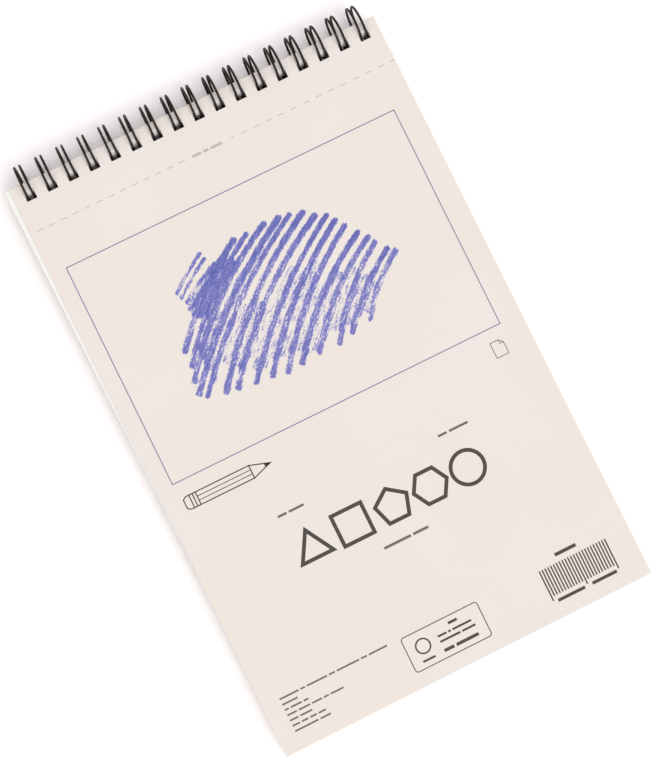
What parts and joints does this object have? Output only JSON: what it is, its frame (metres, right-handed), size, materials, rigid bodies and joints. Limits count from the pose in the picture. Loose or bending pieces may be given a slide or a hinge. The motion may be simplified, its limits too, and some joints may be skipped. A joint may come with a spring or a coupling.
{
  "type": "sketchbook",
  "caption": "A5 sketch pad bound along its top edge with black twin-loop wire: cream card cover, white sheets and a grey back board. The cover and sheets turn over the wire.",
  "frame": {"origin": "centre of the back board's outer face", "axes": "+X along the binding, +Y towards the binding, +Z from the back board up through the front cover"},
  "size_m": [0.148, 0.2357, 0.0141],
  "materials": {
    "grey_board": "matte",
    "drawing_paper": "matte",
    "cover_card": "matte",
    "coated_wire": "satin"
  },
  "bodies": {
    "back_board": {"back_board": "grey_board"},
    "twin_loop_wire": {"twin_loop_wire": "coated_wire"},
    "sheets_53_to_60": {"sheets_53_to_60": "drawing_paper"},
    "sheets_45_to_52": {"sheets_45_to_52": "drawing_paper"},
    "sheets_37_to_44": {"sheets_37_to_44": "drawing_paper"},
    "sheets_29_to_36": {"sheets_29_to_36": "drawing_paper"},
    "sheets_21_to_28": {"sheets_21_to_28": "drawing_paper"},
    "sheet_20": {"sheet_20": "drawing_paper"},
    "sheet_19": {"sheet_19": "drawing_paper"},
    "sheet_18": {"sheet_18": "drawing_paper"},
    "sheet_17": {"sheet_17": "drawing_paper"},
    "sheet_16": {"sheet_16": "drawing_paper"},
    "sheet_15": {"sheet_15": "drawing_paper"},
    "sheet_14": {"sheet_14": "drawing_paper"},
    "sheet_13": {"sheet_13": "drawing_paper"},
    "sheet_12": {"sheet_12": "drawing_paper"},
    "sheet_11": {"sheet_11": "drawing_paper"},
    "sheet_10": {"sheet_10": "drawing_paper"},
    "sheet_09": {"sheet_09": "drawing_paper"},
    "sheet_08": {"sheet_08": "drawing_paper"},
    "sheet_07": {"sheet_07": "drawing_paper"},
    "sheet_06": {"sheet_06": "drawing_paper"},
    "sheet_05": {"sheet_05": "drawing_paper"},
    "sheet_04": {"sheet_04": "drawing_paper"},
    "sheet_03": {"sheet_03": "drawing_paper"},
    "sheet_02": {"sheet_02": "drawing_paper"},
    "sheet_01": {"sheet_01": "drawing_paper"},
    "front_cover": {"front_cover": "cover_card"}
  },
  "joints": [
    {"name": "turn_front_cover", "type": "hinge", "parent": "sheet_01", "child": "front_cover", "pos_m": [0, 0.1145, 0.00464], "axis": [-1, 0, 0], "range_deg": [0, 180]},
    {"name": "wire_creep", "type": "hinge", "parent": "back_board", "child": "twin_loop_wire", "pos_m": [0, 0.1145, 0.00464], "axis": [1, 0, 0], "range_deg": [-8, 50]},
    {"name": "turn_sheet_01", "type": "hinge", "parent": "sheet_02", "child": "sheet_01", "pos_m": [0, 0.1145, 0.00464], "axis": [-1, 0, 0], "range_deg": [0, 180]},
    {"name": "turn_sheet_02", "type": "hinge", "parent": "sheet_03", "child": "sheet_02", "pos_m": [0, 0.1145, 0.00464], "axis": [-1, 0, 0], "range_deg": [0, 180]},
    {"name": "turn_sheet_03", "type": "hinge", "parent": "sheet_04", "child": "sheet_03", "pos_m": [0, 0.1145, 0.00464], "axis": [-1, 0, 0], "range_deg": [0, 180]},
    {"name": "turn_sheet_04", "type": "hinge", "parent": "sheet_05", "child": "sheet_04", "pos_m": [0, 0.1145, 0.00464], "axis": [-1, 0, 0], "range_deg": [0, 180]},
    {"name": "turn_sheet_05", "type": "hinge", "parent": "sheet_06", "child": "sheet_05", "pos_m": [0, 0.1145, 0.00464], "axis": [-1, 0, 0], "range_deg": [0, 180]},
    {"name": "turn_sheet_06", "type": "hinge", "parent": "sheet_07", "child": "sheet_06", "pos_m": [0, 0.1145, 0.00464], "axis": [-1, 0, 0], "range_deg": [0, 180]},
    {"name": "turn_sheet_07", "type": "hinge", "parent": "sheet_08", "child": "sheet_07", "pos_m": [0, 0.1145, 0.00464], "axis": [-1, 0, 0], "range_deg": [0, 180]},
    {"name": "turn_sheet_08", "type": "hinge", "parent": "sheet_09", "child": "sheet_08", "pos_m": [0, 0.1145, 0.00464], "axis": [-1, 0, 0], "range_deg": [0, 180]},
    {"name": "turn_sheet_09", "type": "hinge", "parent": "sheet_10", "child": "sheet_09", "pos_m": [0, 0.1145, 0.00464], "axis": [-1, 0, 0], "range_deg": [0, 180]},
    {"name": "turn_sheet_10", "type": "hinge", "parent": "sheet_11", "child": "sheet_10", "pos_m": [0, 0.1145, 0.00464], "axis": [-1, 0, 0], "range_deg": [0, 180]},
    {"name": "turn_sheet_11", "type": "hinge", "parent": "sheet_12", "child": "sheet_11", "pos_m": [0, 0.1145, 0.00464], "axis": [-1, 0, 0], "range_deg": [0, 180]},
    {"name": "turn_sheet_12", "type": "hinge", "parent": "sheet_13", "child": "sheet_12", "pos_m": [0, 0.1145, 0.00464], "axis": [-1, 0, 0], "range_deg": [0, 180]},
    {"name": "turn_sheet_13", "type": "hinge", "parent": "sheet_14", "child": "sheet_13", "pos_m": [0, 0.1145, 0.00464], "axis": [-1, 0, 0], "range_deg": [0, 180]},
    {"name": "turn_sheet_14", "type": "hinge", "parent": "sheet_15", "child": "sheet_14", "pos_m": [0, 0.1145, 0.00464], "axis": [-1, 0, 0], "range_deg": [0, 180]},
    {"name": "turn_sheet_15", "type": "hinge", "parent": "sheet_16", "child": "sheet_15", "pos_m": [0, 0.1145, 0.00464], "axis": [-1, 0, 0], "range_deg": [0, 180]},
    {"name": "turn_sheet_16", "type": "hinge", "parent": "sheet_17", "child": "sheet_16", "pos_m": [0, 0.1145, 0.00464], "axis": [-1, 0, 0], "range_deg": [0, 180]},
    {"name": "turn_sheet_17", "type": "hinge", "parent": "sheet_18", "child": "sheet_17", "pos_m": [0, 0.1145, 0.00464], "axis": [-1, 0, 0], "range_deg": [0, 180]},
    {"name": "turn_sheet_18", "type": "hinge", "parent": "sheet_19", "child": "sheet_18", "pos_m": [0, 0.1145, 0.00464], "axis": [-1, 0, 0], "range_deg": [0, 180]},
    {"name": "turn_sheet_19", "type": "hinge", "parent": "sheet_20", "child": "sheet_19", "pos_m": [0, 0.1145, 0.00464], "axis": [-1, 0, 0], "range_deg": [0, 180]},
    {"name": "turn_sheet_20", "type": "hinge", "parent": "sheets_21_to_28", "child": "sheet_20", "pos_m": [0, 0.1145, 0.00464], "axis": [-1, 0, 0], "range_deg": [0, 180]},
    {"name": "turn_sheets_21_to_28", "type": "hinge", "parent": "sheets_29_to_36", "child": "sheets_21_to_28", "pos_m": [0, 0.1145, 0.00464], "axis": [-1, 0, 0], "range_deg": [0, 180]},
    {"name": "turn_sheets_29_to_36", "type": "hinge", "parent": "sheets_37_to_44", "child": "sheets_29_to_36", "pos_m": [0, 0.1145, 0.00464], "axis": [-1, 0, 0], "range_deg": [0, 180]},
    {"name": "turn_sheets_37_to_44", "type": "hinge", "parent": "sheets_45_to_52", "child": "sheets_37_to_44", "pos_m": [0, 0.1145, 0.00464], "axis": [-1, 0, 0], "range_deg": [0, 180]},
    {"name": "turn_sheets_45_to_52", "type": "hinge", "parent": "sheets_53_to_60", "child": "sheets_45_to_52", "pos_m": [0, 0.1145, 0.00464], "axis": [-1, 0, 0], "range_deg": [0, 180]},
    {"name": "turn_sheets_53_to_60", "type": "hinge", "parent": "back_board", "child": "sheets_53_to_60", "pos_m": [0, 0.1145, 0.00464], "axis": [-1, 0, 0], "range_deg": [0, 180]}
  ]
}
